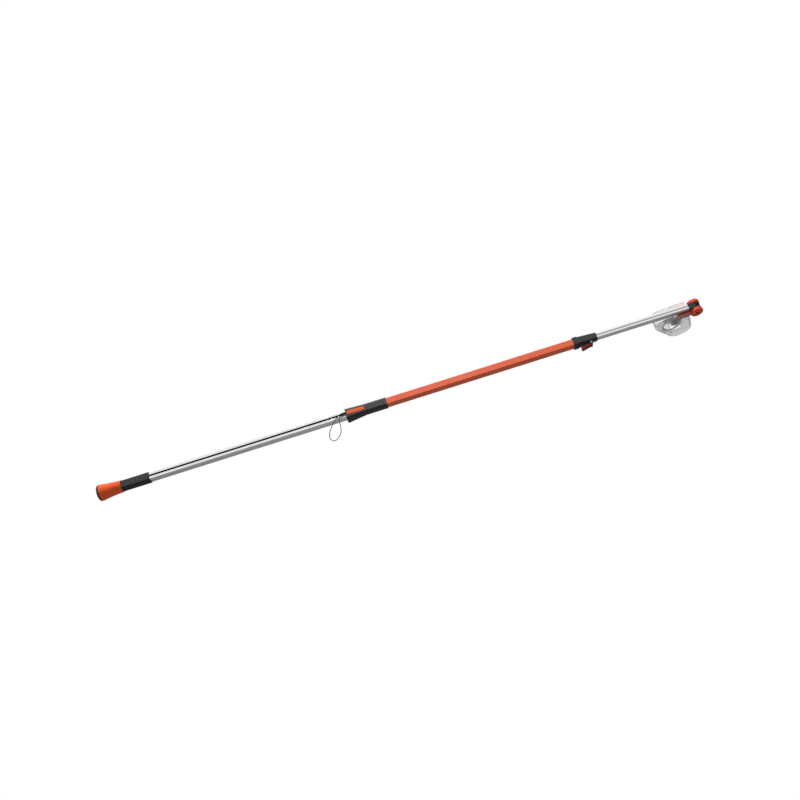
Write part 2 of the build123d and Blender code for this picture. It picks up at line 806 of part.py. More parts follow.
def side_cap(side, name):
    """Orange cap with its tail, on the near or far side of the knuckle."""
    with BuildPart() as cap:
        round_bar(Plane.XY.offset(side * cap_inner), tilt_axis, cap_radius, side * cap_height)
        fillet(cap.edges().filter_by(GeomType.CIRCLE).sort_by(Axis.Z)[-1 if side > 0 else 0], cap_round)
        dish = Plane.XY.offset(side * (cap_outer_z - cap_dish))
        round_bar(dish, tilt_axis, cap_dish_radius, side * cap_height, Mode.SUBTRACT)
        with BuildSketch(Plane.XY.offset(side * cap_inner)) as tail:
            with Locations(tilt_axis):
                Circle(tail_root_radius)
            with Locations(at_tilt((-tail_tip_back, tail_tip_out))):
                Circle(tail_tip_radius)
            make_hull()
        extrude(tail.sketch, amount=side * tail_thickness)
        bore = Plane.XY.offset(side * cap_inner)
        round_bar(bore, tilt_axis, tilt_bolt_radius + fit_gap, side * cap_height, Mode.SUBTRACT)
        recess = Plane.XY.offset(side * bolt_seat)
        round_bar(recess, tilt_axis, tilt_bolt_head + slide_gap, side * cap_height, Mode.SUBTRACT)
        for place in frame_rivet_places:
            round_bar(bore, place, frame_rivet_radius + fit_gap, side * cap_height, Mode.SUBTRACT)
    finish(cap.part, name)


side_cap(-1, "near_cap")
side_cap(1, "far_cap")

with BuildPart() as tilt_bolt:
    round_bar(Plane.XY.offset(-bolt_seat), tilt_axis, tilt_bolt_head, -tilt_bolt_head_height)
    fillet(tilt_bolt.edges().sort_by(Axis.Z)[0], tilt_bolt_head_height / 4)
    with BuildSketch(Plane.XY.offset(-bolt_seat - tilt_bolt_head_height)):
        with Locations(tilt_axis):
            RegularPolygon(socket_across / 2, 6, major_radius=False)
    extrude(amount=socket_depth, mode=Mode.SUBTRACT)
    bolt_length = 2 * bolt_seat + tilt_bolt_head_height
    round_bar(Plane.XY.offset(-bolt_seat), tilt_axis, tilt_bolt_radius, bolt_length)
finish(tilt_bolt.part, "tilt_bolt")

with BuildPart() as tilt_nut:
    with BuildSketch(Plane.XY.offset(bolt_seat)):
        with Locations(tilt_axis):
            RegularPolygon(tilt_bolt_head, 6)
            Circle(tilt_bolt_radius + fit_gap, mode=Mode.SUBTRACT)
    extrude(amount=tilt_bolt_head_height)
finish(tilt_nut.part, "tilt_nut")


# Cutting head

pivot = (pivot_x, pivot_y)
frame_root = at_tilt((-frame_root_back, frame_root_out))
far_face = blade_gap + blade_thickness + blade_gap
frame_outer = far_face + frame_plate


def frame_outline():
    """Outline shared by the frame plates and the hook's shank."""
    with BuildSketch() as outline:
        with Locations(frame_root):
            Circle(frame_root_radius)
        with Locations(pivot):
            Circle(frame_pivot_radius)
        with Locations(frame_rivet_places[1]):
            Circle(frame_root_radius)
        make_hull()
    return outline.sketch


def frame_holes(low, length):
    """Pivot and rivet holes through the plates of the head."""
    round_bar(Plane.XY.offset(low), pivot, blade_bolt_radius + fit_gap, length, Mode.SUBTRACT)
    for place in frame_rivet_places:
        round_bar(Plane.XY.offset(low), place, frame_rivet_radius + fit_gap, length, Mode.SUBTRACT)


def frame_half(side, inner, name):
    """Near or far half of the head's frame, with the pad that meets the cap's tail."""
    with BuildPart() as half:
        plate = Plane.XY.offset(side * inner) * frame_outline()
        extrude(plate, amount=side * (frame_outer - inner))
        with BuildSketch(Plane.XY.offset(side * frame_outer)) as pad:
            with Locations(*frame_rivet_places):
                Circle(frame_root_radius)
            make_hull()
        extrude(pad.sketch, amount=side * (cap_inner - frame_outer))
        low = inner if side > 0 else -cap_inner
        frame_holes(low, cap_inner - inner)
        if side > 0:
            room = blade_spring_radius + blade_spring_room
            depth = blade_spring_height + blade_spring_room
            round_bar(Plane.XY.offset(inner), pivot, room, depth, Mode.SUBTRACT)
    finish(half.part, name)


frame_half(-1, hook_thickness, "near_frame")
frame_half(1, far_face, "far_frame")

with BuildPart() as frame_rivets:
    for place in frame_rivet_places:
        round_bar(Plane.XY.offset(-tail_outer), place, frame_rivet_radius, 2 * tail_outer)
finish(frame_rivets.part, "frame_rivets")

with BuildPart() as hook_blade:
    with BuildSketch(Plane.XY.offset(-hook_thickness)):
        with Locations(at_pivot(hook_centre)):
            Circle(hook_radius)
        with Locations(at_pivot(gullet_centre)):
            Circle(gullet_radius, mode=Mode.SUBTRACT)
        with BuildLine():
            left = at_pivot(mouth_left)
            right = at_pivot(mouth_right)
            Polyline(
                left,
                right,
                (right[0], right[1] - mouth_height),
                (left[0], left[1] - mouth_height),
                close=True,
            )
        make_face(mode=Mode.SUBTRACT)
    extrude(amount=hook_thickness)
    shank = Plane.XY.offset(-hook_thickness) * frame_outline()
    extrude(shank, amount=hook_thickness)
    frame_holes(-hook_thickness, hook_thickness)
finish(hook_blade.part, "hook_blade")

with BuildPart() as cutting_blade:
    with BuildSketch(Plane.XY.offset(blade_gap)):
        with BuildLine():
            edge = ThreePointArc(at_pivot(blade_heel), at_pivot(blade_edge_middle), at_pivot(blade_tip))
            back = ThreePointArc(edge @ 1, at_pivot(blade_back_middle), at_pivot(blade_back_root))
            Line(back @ 1, edge @ 0)
        make_face()
        with Locations(pivot):
            Circle(blade_hub_radius)
    extrude(amount=blade_thickness)
    tail_angle = radians(blade_tail_angle)
    tail_eye = at_pivot((blade_tail_length * cos(tail_angle), blade_tail_length * sin(tail_angle)))
    with BuildSketch(Plane.XY.offset(blade_gap)):
        with Locations(pivot):
            Circle(blade_tail_radius)
        with Locations(tail_eye):
            Circle(blade_tail_radius)
        make_hull()
    extrude(amount=blade_thickness)
    round_bar(Plane.XY, pivot, blade_bolt_radius + run_gap, far_face, Mode.SUBTRACT)
    round_bar(Plane.XY, tail_eye, cord_eye_radius, far_face, Mode.SUBTRACT)
    far_arcs = cutting_blade.edges().group_by(Axis.Z)[-1].filter_by(GeomType.CIRCLE)
    cutting_arcs = [arc for arc in far_arcs if isclose(arc.radius, edge.radius)]
    far_side = cutting_blade.faces().sort_by(Axis.Z)[-1]
    chamfer(cutting_arcs, blade_bevel_width, blade_bevel, reference=far_side)
finish(cutting_blade.part, "cutting_blade")

with BuildPart() as blade_bolt:
    shank_length = 2 * frame_outer + blade_bolt_head_height
    round_bar(Plane.XY.offset(-frame_outer), pivot, blade_bolt_head, -blade_bolt_head_height)
    fillet(blade_bolt.edges().sort_by(Axis.Z)[0], blade_bolt_head_height / 3)
    round_bar(Plane.XY.offset(-frame_outer), pivot, blade_bolt_radius, shank_length)
finish(blade_bolt.part, "blade_bolt")

with BuildPart() as blade_nut:
    with BuildSketch(Plane.XY.offset(frame_outer)):
        with Locations(pivot):
            RegularPolygon(blade_bolt_head, 6)
            Circle(blade_bolt_radius + fit_gap, mode=Mode.SUBTRACT)
    extrude(amount=blade_bolt_head_height)
finish(blade_nut.part, "blade_nut")

with BuildPart() as blade_spring:
    with BuildSketch(Plane.XY.offset(far_face + blade_spring_room)):
        with Locations(pivot):
            Circle(blade_spring_radius)
            Circle(blade_spring_radius - blade_spring_wire, mode=Mode.SUBTRACT)
    extrude(amount=blade_spring_height)
finish(blade_spring.part, "blade_spring")


# Clear guard: two walls that draw together towards the hook, joined by a rim

guard_bottom = guard_centre[1] + guard_radius
guard_left = tilt_x + guard_shoulder[0] - guard_shoulder_radius
guard_right = tilt_x + guard_centre[0] + guard_radius
guard_middle = (guard_left + guard_right) / 2


def guard_slab(inset, lift):
    """Slab in the guard's outline, with its open edge lifted along the walls."""
    lean = radians(guard_lean)
    with BuildSketch(Plane.XY.offset(-guard_half_top)) as outline:
        with Locations(at_tilt(guard_centre)):
            Circle(guard_radius - inset)
        with Locations(at_tilt(guard_shoulder)):
            Circle(guard_shoulder_radius - inset)
        for top in (guard_top_left, guard_top_right):
            with Locations(at_tilt((top[0] + lift * sin(lean), top[1] - lift * cos(lean)))):
                Circle(guard_corner - inset)
        make_hull()
    extrude(outline.sketch, amount=2 * guard_half_top)


def guard_half(y):
    """Half of the guard's width, which narrows from the pole to the hook."""
    share = (y - guard_top) / (guard_bottom - guard_top)
    return guard_half_top + (guard_half_bottom - guard_half_top) * share


def guard_wedge(inset, lift):
    """Keep only what lies between the two walls."""
    high = guard_top - lift
    half_high = guard_half(high) - inset
    half_low = guard_half(guard_bottom) - inset
    with BuildSketch(Plane.YZ.offset(guard_left)) as wedge:
        with BuildLine():
            Polyline(
                (high, -half_high),
                (guard_bottom, -half_low),
                (guard_bottom, half_low),
                (high, half_high),
                close=True,
            )
        make_face()
    extrude(wedge.sketch, amount=guard_right - guard_left, mode=Mode.INTERSECT)


with BuildPart() as guard_space:
    guard_slab(guard_wall, guard_lift)
    block((guard_left, guard_top, -guard_half_top), (guard_middle, guard_left_open, guard_half_top))
    block((guard_middle, guard_top, -guard_half_top), (guard_right, guard_right_open, guard_half_top))
    guard_wedge(guard_wall, guard_lift)

with BuildPart() as blade_guard:
    guard_slab(0, 0)
    guard_wedge(0, 0)
    add(guard_space.part, mode=Mode.SUBTRACT)
    post = at_pivot(guard_post)
    post_end = guard_half(post[1]) - guard_wall / 2
    near_seat = -hook_thickness - guard_seat_gap
    round_bar(Plane.XY.offset(guard_seat_gap), post, guard_post_radius, post_end - guard_seat_gap)
    round_bar(Plane.XY.offset(near_seat), post, guard_post_radius, -post_end - near_seat)
    with BuildSketch(Plane.XY.offset(-guard_half_top)):
        with Locations(*[at_tilt(place) for place in window_places]):
            Circle(window_corner)
        make_hull()
    extrude(amount=2 * guard_half_top, mode=Mode.SUBTRACT)
finish(blade_guard.part, "blade_guard")
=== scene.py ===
import bpy
import json
import math
from mathutils import Matrix, Vector


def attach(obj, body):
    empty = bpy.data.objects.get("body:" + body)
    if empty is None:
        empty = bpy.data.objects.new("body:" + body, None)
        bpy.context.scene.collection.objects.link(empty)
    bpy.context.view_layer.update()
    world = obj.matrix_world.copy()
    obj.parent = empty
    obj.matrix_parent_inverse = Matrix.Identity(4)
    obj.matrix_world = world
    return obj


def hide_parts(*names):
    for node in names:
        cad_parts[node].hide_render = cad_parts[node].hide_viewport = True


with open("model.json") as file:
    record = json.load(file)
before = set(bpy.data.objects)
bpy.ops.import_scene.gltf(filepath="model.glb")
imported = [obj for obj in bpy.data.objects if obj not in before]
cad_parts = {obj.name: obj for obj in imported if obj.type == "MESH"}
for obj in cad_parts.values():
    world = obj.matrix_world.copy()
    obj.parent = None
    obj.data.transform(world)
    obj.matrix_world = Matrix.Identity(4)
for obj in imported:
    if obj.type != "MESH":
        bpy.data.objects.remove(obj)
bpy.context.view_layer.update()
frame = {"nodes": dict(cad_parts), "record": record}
nodes = frame["nodes"]

# View of the photograph: square to the pole, from under its slotted face, with the pole rising to the right
view_under = math.radians(30)
view_roll = math.radians(17.5)
view_centre = Vector((0.8885, 0.0022, -0.0037))
view_width = 2.576
view_distance = 3.0
view_depth = 30.0
sensor_width = 36.0

# Floor, far under the pole because the view is from below, with a glow that only the camera sees
floor_height = -2.2
floor_reach = 30.0
floor_colour = (0.55, 0.55, 0.55, 1)
floor_roughness = 0.9
floor_glow = 0.5

# Studio light: key and fill face the pole, and the back lamp lights the floor behind it
ambient_level = 0.06
key_place = Vector((1.2, -2.6, 4.4))
key_size = (1.6, 1.6)
key_watts = 330.0
fill_place = Vector((-2.6, -3.2, 0.9))
fill_size = (1.2, 2.4)
fill_watts = 24.0
back_place = Vector((0.9, 4.4, 0.6))
back_target = Vector((0.9, 4.4, floor_height))
back_size = (4.0, 1.2)
back_watts = 20.0

# Grain and blotches of every surface
grain_detail = 3.0
grain_strength = 0.6
blotch_scale = 28.0
blotch_detail = 4.0
noise_middle = 0.5

# Worn edges: cosine of the bend where wear starts and where it is full, and the blotches that it keeps to
edge_start = 0.995
edge_full = 0.86
edge_samples = 6
patch_start = 0.42
patch_full = 0.62

# Painted recess shade: how far the effect looks round, and the open share at which a surface gets the full
# painted shade or none
recess_reach = 0.06
recess_full_shade = 0.2
recess_no_shade = 0.6
recess_samples = 8

# Sockets of a colour mix
mix_first = 6
mix_second = 7
mix_result = 2

# Painted shade along the floor of the upper tube's groove
groove_half = 0.0021
groove_front = -0.009
groove_shade_level = 0.4

# Finishes: colours, plain shader values and values of the surface effect
orange_moulding = dict(
    shader_values={"Specular IOR Level": 0.2}, roughness=0.38, roughness_spread=0.18, blotch=0.16,
    grain_scale=(1700, 1700, 1700), grain_depth=0.0001, grain_shade=0.08,
    edge_radius=0.0006, edge_wear=0.25,
)
finish_looks = {
    "black_plastic": dict(
        colour=(0.02, 0.02, 0.021), worn=(0.06, 0.06, 0.064), shader_values={"Specular IOR Level": 0.3},
        roughness=0.42, roughness_spread=0.25, blotch=0.35,
        grain_scale=(1900, 1900, 1900), grain_depth=0.00012, grain_shade=0.25,
        edge_radius=0.0006, edge_wear=0.35,
    ),
    "black_rubber": dict(
        colour=(0.02, 0.02, 0.021), worn=(0.05, 0.05, 0.052), shader_values={"Specular IOR Level": 0.3},
        roughness=0.62, roughness_spread=0.2, blotch=0.3,
        grain_scale=(1300, 1300, 1300), grain_depth=0.0002, grain_shade=0.3,
        edge_radius=0.0008, edge_wear=0.3,
    ),
    "orange_plastic": dict(colour=(0.86, 0.11, 0.025), worn=(0.9, 0.2, 0.09), **orange_moulding),
    "cap_plastic": dict(colour=(0.83, 0.097, 0.05), worn=(0.88, 0.19, 0.11), **orange_moulding),
    "red_plastic": dict(
        colour=(0.15, 0.004, 0.005), worn=(0.3, 0.03, 0.03), shader_values={"Specular IOR Level": 0.2},
        roughness=0.34, roughness_spread=0.18, blotch=0.2,
        grain_scale=(1700, 1700, 1700), grain_depth=0.0001, grain_shade=0.1,
        edge_radius=0.0007, edge_wear=0.3,
    ),
    "orange_tube": dict(
        colour=(0.80, 0.13, 0.05), worn=(0.85, 0.24, 0.13), shader_values={"Specular IOR Level": 0.35},
        roughness=0.36, roughness_spread=0.15, blotch=0.1,
        grain_scale=(700, 1100, 1100), grain_depth=0.00008, grain_shade=0.05,
        edge_radius=0.0004, edge_wear=0.2,
    ),
    "silver_tube": dict(
        colour=(0.77, 0.77, 0.775), worn=(0.85, 0.85, 0.85),
        shader_values={"Metallic": 1.0, "Anisotropic": 0.4},
        roughness=0.14, roughness_spread=0.16, blotch=0.06,
        grain_scale=(3, 2600, 2600), grain_depth=0.00004, grain_shade=0.06,
        # Recess level 0.03: painted shade makes the bore and the slot nearly black
        edge_radius=0.0004, edge_wear=0.3, recess_level=0.03,
    ),
    "steel": dict(
        colour=(0.56, 0.56, 0.57), worn=(0.75, 0.75, 0.75), shader_values={"Metallic": 1.0},
        roughness=0.32, roughness_spread=0.2, blotch=0.2,
        grain_scale=(2600, 2600, 60), grain_depth=0.00005, grain_shade=0.15,
        edge_radius=0.0003, edge_wear=0.5,
    ),
    "dark_steel": dict(
        colour=(0.11, 0.11, 0.115), worn=(0.4, 0.4, 0.4), shader_values={"Metallic": 1.0},
        roughness=0.4, roughness_spread=0.2, blotch=0.3,
        grain_scale=(1500, 1500, 1500), grain_depth=0.00008, grain_shade=0.2,
        edge_radius=0.0003, edge_wear=0.6,
    ),
    "blade_steel": dict(
        colour=(0.74, 0.74, 0.755), worn=(0.88, 0.88, 0.88), shader_values={"Metallic": 1.0},
        roughness=0.3, roughness_spread=0.2, blotch=0.25,
        grain_scale=(90, 1800, 1800), grain_depth=0.00006, grain_shade=0.2,
        edge_radius=0.0004, edge_wear=0.8, recess_level=0.95,
    ),
    "grey_metal": dict(
        colour=(0.56, 0.56, 0.58), worn=(0.75, 0.75, 0.75), shader_values={"Metallic": 0.9},
        roughness=0.5, roughness_spread=0.15, blotch=0.2,
        grain_scale=(1400, 1400, 1400), grain_depth=0.00015, grain_shade=0.2,
        edge_radius=0.0006, edge_wear=0.5,
    ),
    "black_cord": dict(
        colour=(0.02, 0.02, 0.021), worn=(0.06, 0.06, 0.06), shader_values={"Sheen Weight": 0.1},
        roughness=0.75, roughness_spread=0.15, blotch=0.3,
        grain_scale=(1600, 1600, 1600), grain_depth=0.0002, grain_shade=0.6,
        edge_radius=0.0002, edge_wear=0.2,
    ),
    "clear_plastic": dict(
        colour=(0.93, 0.935, 0.94), worn=(0.96, 0.96, 0.96),
        shader_values={"Transmission Weight": 0.94, "IOR": 1.45},
        roughness=0.2, roughness_spread=0.12, blotch=0.05,
        grain_scale=(160, 160, 160), grain_depth=0.0001, grain_shade=0.02,
        edge_radius=0.0005, edge_wear=0.2, recess_level=0.96,
    ),
}

# Pieces whose finish isn't that of their slot: the caps are a redder orange, and the upper tube's groove
# floor gets painted shade
own_finish = {"near_cap": "cap_plastic", "far_cap": "cap_plastic", "upper_tube": "groove_shaded_tube"}

# Cords: three strands laid in a twist
strand_count = 3
strand_sides = 8
strand_share = 0.464
lay_in_diameters = 3.2

# Drive cord: along the pole, then round the sheave
drive_diameter = 0.002
drive_steps = 160
drive_route = [
    (0.8305, 0.004, 0.0), (1.6, 0.004, 0.0), (1.88274, 0.004, 0.0), (1.88926, 0.004, 0.0),
    (1.89346, 0.009, 0.0), (1.89233, 0.01543, 0.0), (1.8895, 0.01706, 0.0),
]

# Pull loop: the route of the solid, from one eye of the slider back to the other
loop_diameter = 0.0028
loop_steps = 24
loop_route = [
    (0.7115, -0.0152, 0.0035), (0.705, -0.0152, 0.0035), (0.696, -0.0156, 0.0028),
    (0.686, -0.0164, -0.001), (0.6765, -0.017, -0.009), (0.666, -0.0172, -0.0196),
    (0.657, -0.0168, -0.03), (0.6486, -0.016, -0.0425), (0.6418, -0.0154, -0.056),
    (0.64, -0.015, -0.07), (0.6465, -0.015, -0.0825), (0.659, -0.015, -0.0845),
    (0.671, -0.015, -0.0755), (0.6795, -0.0152, -0.0615), (0.6835, -0.0158, -0.046),
    (0.683, -0.0166, -0.0305), (0.683, -0.0172, -0.018), (0.6885, -0.0166, -0.009),
    (0.697, -0.0154, -0.005), (0.705, -0.0152, -0.0045), (0.7115, -0.0152, -0.0045),
]


def make_camera():
    """Camera at the photograph's angle."""
    back = Vector((0, -math.cos(view_under), -math.sin(view_under)))
    along = Vector((1, 0, 0))
    across = back.cross(along)
    right = along * math.cos(view_roll) - across * math.sin(view_roll)
    up = back.cross(right)
    data = bpy.data.cameras.new("camera")
    data.sensor_width = sensor_width
    data.lens = sensor_width * view_distance / view_width
    data.clip_end = view_depth
    camera = bpy.data.objects.new("camera", data)
    bpy.context.collection.objects.link(camera)
    turn = Matrix((right, up, back)).transposed()
    camera.matrix_world = Matrix.Translation(view_centre + back * view_distance) @ turn.to_4x4()
    bpy.context.scene.camera = camera


def make_softbox(name, place, size, watts, target):
    """Rectangular soft lamp that faces a target."""
    data = bpy.data.lights.new(name, "AREA")
    data.shape = "RECTANGLE"
    data.size, data.size_y = size
    data.energy = watts
    lamp = bpy.data.objects.new(name, data)
    bpy.context.collection.objects.link(lamp)
    lamp.location = place
    lamp.rotation_mode = "QUATERNION"
    lamp.rotation_quaternion = (target - place).to_track_quat("-Z", "Y")


def add_node(tree, kind, **values):
    """Shader node of a kind, with its properties set."""
    node = tree.nodes.new(kind)
    for name, value in values.items():
        setattr(node, name, value)
    return node


def make_world():
    """White surround for what the camera, metal and clear plastic see, and a softer level for the light."""
    world = bpy.data.worlds.new("studio")
    bpy.context.scene.world = world
    world.use_nodes = True
    tree = world.node_tree
    link = tree.links.new
    sky = tree.nodes["Background"]
    sky.inputs["Color"].default_value = (1, 1, 1, 1)
    rays = add_node(tree, "ShaderNodeLightPath")
    shown = add_node(tree, "ShaderNodeMath", operation="ADD", use_clamp=True)
    clear = add_node(tree, "ShaderNodeMath", operation="ADD", use_clamp=True)
    level = add_node(tree, "ShaderNodeMapRange")
    level.inputs["To Min"].default_value = ambient_level
    link(rays.outputs["Is Camera Ray"], shown.inputs[0])
    link(rays.outputs["Is Glossy Ray"], shown.inputs[1])
    link(shown.outputs[0], clear.inputs[0])
    link(rays.outputs["Is Transmission Ray"], clear.inputs[1])
    link(clear.outputs[0], level.inputs["Value"])
    link(level.outputs["Result"], sky.inputs["Strength"])


def make_floor():
    """Plain pale floor."""
    corners = [(-1, -1), (1, -1), (1, 1), (-1, 1)]
    places = [(x * floor_reach, y * floor_reach, floor_height) for x, y in corners]
    mesh = bpy.data.meshes.new("floor")
    mesh.from_pydata(places, [], [(0, 1, 2, 3)])
    floor = bpy.data.objects.new("floor", mesh)
    bpy.context.collection.objects.link(floor)
    paint = bpy.data.materials.new("pale_floor")
    paint.use_nodes = True
    tree = paint.node_tree
    shader = tree.nodes["Principled BSDF"]
    shader.inputs["Base Color"].default_value = floor_colour
    shader.inputs["Roughness"].default_value = floor_roughness
    shader.inputs["Emission Strength"].default_value = 1.0
    rays = add_node(tree, "ShaderNodeLightPath")
    glow = add_node(tree, "ShaderNodeMath", operation="MULTIPLY")
    glow.inputs[1].default_value = floor_glow
    tree.links.new(rays.outputs["Is Camera Ray"], glow.inputs[0])
    tree.links.new(glow.outputs[0], shader.inputs["Emission Color"])
    mesh.materials.append(paint)


def group_sockets(tree, inputs, outputs):
    """Named inputs and outputs of a shader node group."""
    for name, kind, value in inputs:
        socket = tree.interface.new_socket(name, in_out="INPUT", socket_type=kind)
        socket.default_value = value
    for name, kind in outputs:
        tree.interface.new_socket(name, in_out="OUTPUT", socket_type=kind)
    return add_node(tree, "NodeGroupInput"), add_node(tree, "NodeGroupOutput")


def make_surface_group():
    """Effect shared by all finishes: grain, blotches, worn and softened edges, and painted shade in
    recesses.
    """
    tree = bpy.data.node_groups.new("surface", "ShaderNodeTree")
    inside, outside = group_sockets(
        tree,
        [
            ("Color", "NodeSocketColor", (0.5, 0.5, 0.5, 1)),
            ("Worn Color", "NodeSocketColor", (0.6, 0.6, 0.6, 1)),
            ("Roughness", "NodeSocketFloat", 0.4),
            ("Roughness Spread", "NodeSocketFloat", 0.1),
            ("Blotch", "NodeSocketFloat", 0.1),
            ("Grain Scale", "NodeSocketVector", (1000, 1000, 1000)),
            ("Grain Depth", "NodeSocketFloat", 0.0001),
            ("Grain Shade", "NodeSocketFloat", 0.05),
            ("Edge Radius", "NodeSocketFloat", 0.0005),
            ("Edge Wear", "NodeSocketFloat", 0.3),
            ("Recess Level", "NodeSocketFloat", 0.5),
        ],
        [("Color", "NodeSocketColor"), ("Roughness", "NodeSocketFloat"), ("Normal", "NodeSocketVector")],
    )
    link = tree.links.new
    place = add_node(tree, "ShaderNodeTexCoord")

    # Fine grain, stretched to its own scale on each axis, and broad blotches
    stretch = add_node(tree, "ShaderNodeVectorMath", operation="MULTIPLY")
    link(place.outputs["Object"], stretch.inputs[0])
    link(inside.outputs["Grain Scale"], stretch.inputs[1])
    grain = add_node(tree, "ShaderNodeTexNoise")
    grain.inputs["Scale"].default_value = 1.0
    grain.inputs["Detail"].default_value = grain_detail
    link(stretch.outputs[0], grain.inputs["Vector"])
    blotch = add_node(tree, "ShaderNodeTexNoise")
    blotch.inputs["Scale"].default_value = blotch_scale
    blotch.inputs["Detail"].default_value = blotch_detail
    link(place.outputs["Object"], blotch.inputs["Vector"])

    # Wear in patches along the edges
    bevel = add_node(tree, "ShaderNodeBevel", samples=edge_samples)
    link(inside.outputs["Edge Radius"], bevel.inputs["Radius"])
    geometry = add_node(tree, "ShaderNodeNewGeometry")
    bend = add_node(tree, "ShaderNodeVectorMath", operation="DOT_PRODUCT")
    link(bevel.outputs["Normal"], bend.inputs[0])
    link(geometry.outputs["Normal"], bend.inputs[1])
    edge = add_node(tree, "ShaderNodeMapRange")
    edge.inputs["From Min"].default_value = edge_start
    edge.inputs["From Max"].default_value = edge_full
    link(bend.outputs["Value"], edge.inputs["Value"])
    patchy = add_node(tree, "ShaderNodeMapRange")
    patchy.inputs["From Min"].default_value = patch_start
    patchy.inputs["From Max"].default_value = patch_full
    link(blotch.outputs["Fac"], patchy.inputs["Value"])
    rubbed = add_node(tree, "ShaderNodeMath", operation="MULTIPLY")
    link(edge.outputs["Result"], rubbed.inputs[0])
    link(patchy.outputs["Result"], rubbed.inputs[1])
    wear = add_node(tree, "ShaderNodeMath", operation="MULTIPLY", use_clamp=True)
    link(rubbed.outputs[0], wear.inputs[0])
    link(inside.outputs["Edge Wear"], wear.inputs[1])

    # Colour, with the shade of blotches and grain, and the worn colour on top
    shade = add_node(tree, "ShaderNodeMath", operation="SUBTRACT")
    shade.inputs[1].default_value = noise_middle
    link(blotch.outputs["Fac"], shade.inputs[0])
    cloud = add_node(tree, "ShaderNodeMath", operation="MULTIPLY_ADD")
    cloud.inputs[2].default_value = 1.0
    link(shade.outputs[0], cloud.inputs[0])
    link(inside.outputs["Blotch"], cloud.inputs[1])
    fleck = add_node(tree, "ShaderNodeMath", operation="SUBTRACT")
    fleck.inputs[1].default_value = noise_middle
    link(grain.outputs["Fac"], fleck.inputs[0])
    tone = add_node(tree, "ShaderNodeMath", operation="MULTIPLY_ADD")
    link(fleck.outputs[0], tone.inputs[0])
    link(inside.outputs["Grain Shade"], tone.inputs[1])
    link(cloud.outputs[0], tone.inputs[2])
    tinted = add_node(tree, "ShaderNodeVectorMath", operation="SCALE")
    link(inside.outputs["Color"], tinted.inputs[0])
    link(tone.outputs[0], tinted.inputs["Scale"])
    colour = add_node(tree, "ShaderNodeMix", data_type="RGBA")
    link(wear.outputs[0], colour.inputs["Factor"])
    link(tinted.outputs[0], colour.inputs[mix_first])
    link(inside.outputs["Worn Color"], colour.inputs[mix_second])

    # Painted shade in recesses: the colour darkens towards the Recess Level where the piece's own shape
    # closes the surface in
    hollow = add_node(tree, "ShaderNodeAmbientOcclusion", samples=recess_samples, only_local=True)
    hollow.inputs["Distance"].default_value = recess_reach
    recess_shade = add_node(tree, "ShaderNodeMapRange")
    recess_shade.inputs["From Min"].default_value = recess_full_shade
    recess_shade.inputs["From Max"].default_value = recess_no_shade
    link(hollow.outputs["AO"], recess_shade.inputs["Value"])
    link(inside.outputs["Recess Level"], recess_shade.inputs["To Min"])
    recess_shaded = add_node(tree, "ShaderNodeVectorMath", operation="SCALE")
    link(colour.outputs[mix_result], recess_shaded.inputs[0])
    link(recess_shade.outputs["Result"], recess_shaded.inputs["Scale"])
    link(recess_shaded.outputs[0], outside.inputs["Color"])

    # Roughness that follows the blotches
    gloss = add_node(tree, "ShaderNodeMath", operation="MULTIPLY_ADD")
    link(shade.outputs[0], gloss.inputs[0])
    link(inside.outputs["Roughness Spread"], gloss.inputs[1])
    link(inside.outputs["Roughness"], gloss.inputs[2])
    link(gloss.outputs[0], outside.inputs["Roughness"])

    # Grain on the softened edges' normal
    bump = add_node(tree, "ShaderNodeBump")
    bump.inputs["Strength"].default_value = grain_strength
    link(inside.outputs["Grain Depth"], bump.inputs["Distance"])
    link(grain.outputs["Fac"], bump.inputs["Height"])
    link(bevel.outputs["Normal"], bump.inputs["Normal"])
    link(bump.outputs["Normal"], outside.inputs["Normal"])
    return tree


def make_finish(name, surface, colour, worn, shader_values, **effect):
    """Material of one finish: the shared surface effect with its own values, and its plain shader values."""
    material = bpy.data.materials.new(name)
    material.use_nodes = True
    tree = material.node_tree
    shader = tree.nodes["Principled BSDF"]
    layer = add_node(tree, "ShaderNodeGroup", node_tree=surface)
    layer.inputs["Color"].default_value = (*colour, 1)
    layer.inputs["Worn Color"].default_value = (*worn, 1)
    for key, value in effect.items():
        layer.inputs[key.replace("_", " ").title()].default_value = value
    for output, socket in (("Color", "Base Color"), ("Roughness", "Roughness"), ("Normal", "Normal")):
        tree.links.new(layer.outputs[output], shader.inputs[socket])
    for key, value in shader_values.items():
        shader.inputs[key].default_value = value
    return material


